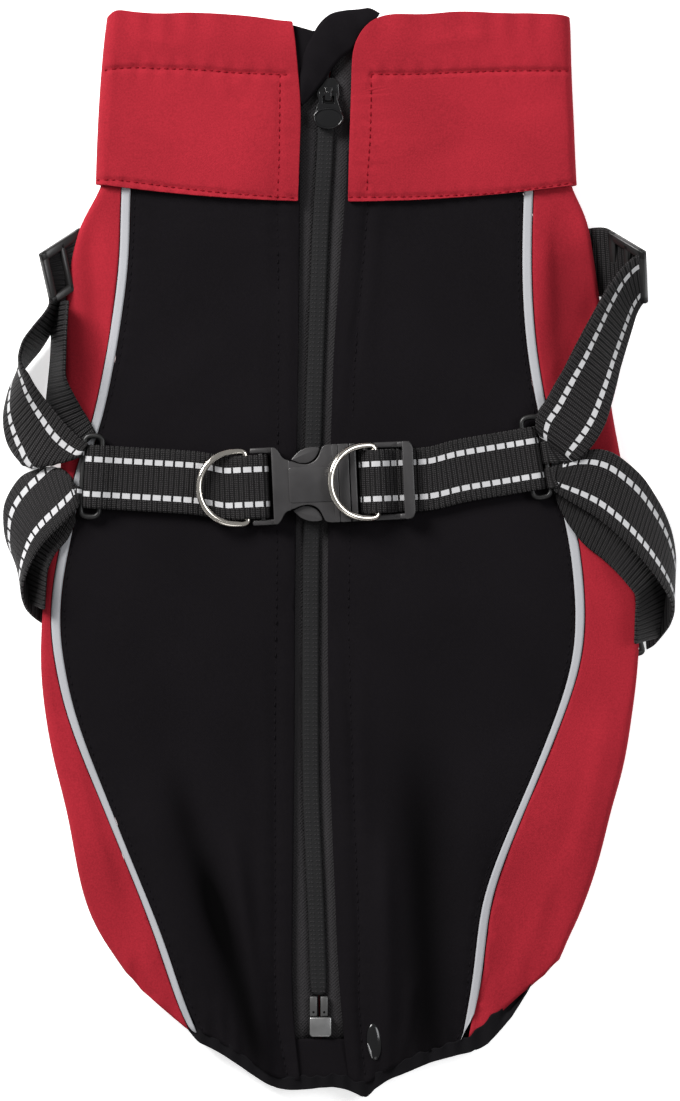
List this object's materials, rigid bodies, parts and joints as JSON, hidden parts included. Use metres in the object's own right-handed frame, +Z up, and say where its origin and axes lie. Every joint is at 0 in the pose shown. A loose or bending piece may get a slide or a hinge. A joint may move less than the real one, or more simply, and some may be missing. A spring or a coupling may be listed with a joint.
{
  "type": "dog coat with harness",
  "caption": "Zipped dog coat with a standing collar and a built-in webbing harness, lying flat on its belly with the zip, buckle and D-rings upward.",
  "frame": {"origin": "on the coat's flat underside, between the two leg holes", "axes": "+X across the coat to the right in the view from above with the collar up, +Y from the hem to the collar, +Z up from the floor to the back with the zip"},
  "size_m": [0.2646, 0.4236, 0.0207],
  "materials": {
    "black_softshell": "matt woven face",
    "red_softshell": "matt woven face",
    "reflective_piping": "satin reflective",
    "black_webbing": "ribbed webbing with light dashes",
    "zip_tape": "woven tape",
    "black_plastic": "moulded, satin",
    "nickel_wire": "polished nickel",
    "dark_metal": "dark, satin"
  },
  "bodies": {
    "coat": {"back_left_panel": "black_softshell", "back_right_panel": "black_softshell", "side_left_panel": "red_softshell", "side_right_panel": "red_softshell", "belly_panel": "red_softshell", "piping_left": "reflective_piping", "piping_right": "reflective_piping", "hem_binding_upper": "black_softshell", "hem_binding_under": "black_softshell", "collar_left": "red_softshell", "collar_right": "red_softshell", "collar_throat": "red_softshell", "zip_tape_left": "zip_tape", "zip_tape_right": "zip_tape", "zip_chain": "dark_metal", "zip_pin_left": "dark_metal", "zip_pin_right": "dark_metal", "zip_box": "dark_metal", "zip_foot": "black_softshell", "zip_guard": "black_softshell", "zip_slider": "dark_metal", "hem_snap": "dark_metal", "back_strap_left": "black_webbing", "back_strap_right": "black_webbing", "chest_strap": "black_webbing", "girth_strap": "black_webbing", "loop_upper_left": "black_webbing", "loop_lower_left": "black_webbing", "loop_upper_right": "black_webbing", "loop_lower_right": "black_webbing", "buckle_plug": "black_plastic", "buckle_socket": "black_plastic", "side_ring_left": "black_plastic", "side_ring_right": "black_plastic", "slider_upper_left": "black_plastic", "slider_upper_right": "black_plastic", "slider_lower_left": "black_plastic", "slider_lower_right": "black_plastic"},
    "left_lead_ring": {"d_ring_left": "nickel_wire"},
    "right_lead_ring": {"d_ring_right": "nickel_wire"},
    "pull_tab": {"zip_pull": "dark_metal"}
  },
  "joints": [
    {"name": "left_ring_swing", "type": "hinge", "parent": "coat", "child": "left_lead_ring", "pos_m": [-0.03617, -0.01519, 0.01085], "axis": [-0.0454, 0.999, 0], "range_deg": [0, 90]},
    {"name": "right_ring_swing", "type": "hinge", "parent": "coat", "child": "right_lead_ring", "pos_m": [0.01428, -0.0129, 0.01295], "axis": [-0.0454, 0.999, 0], "range_deg": [0, 125]},
    {"name": "pull_tab_swing", "type": "hinge", "parent": "coat", "child": "pull_tab", "pos_m": [-0.00438, 0.138, 0.0104], "axis": [-1, 0, 0], "range_deg": [0, 140]}
  ]
}
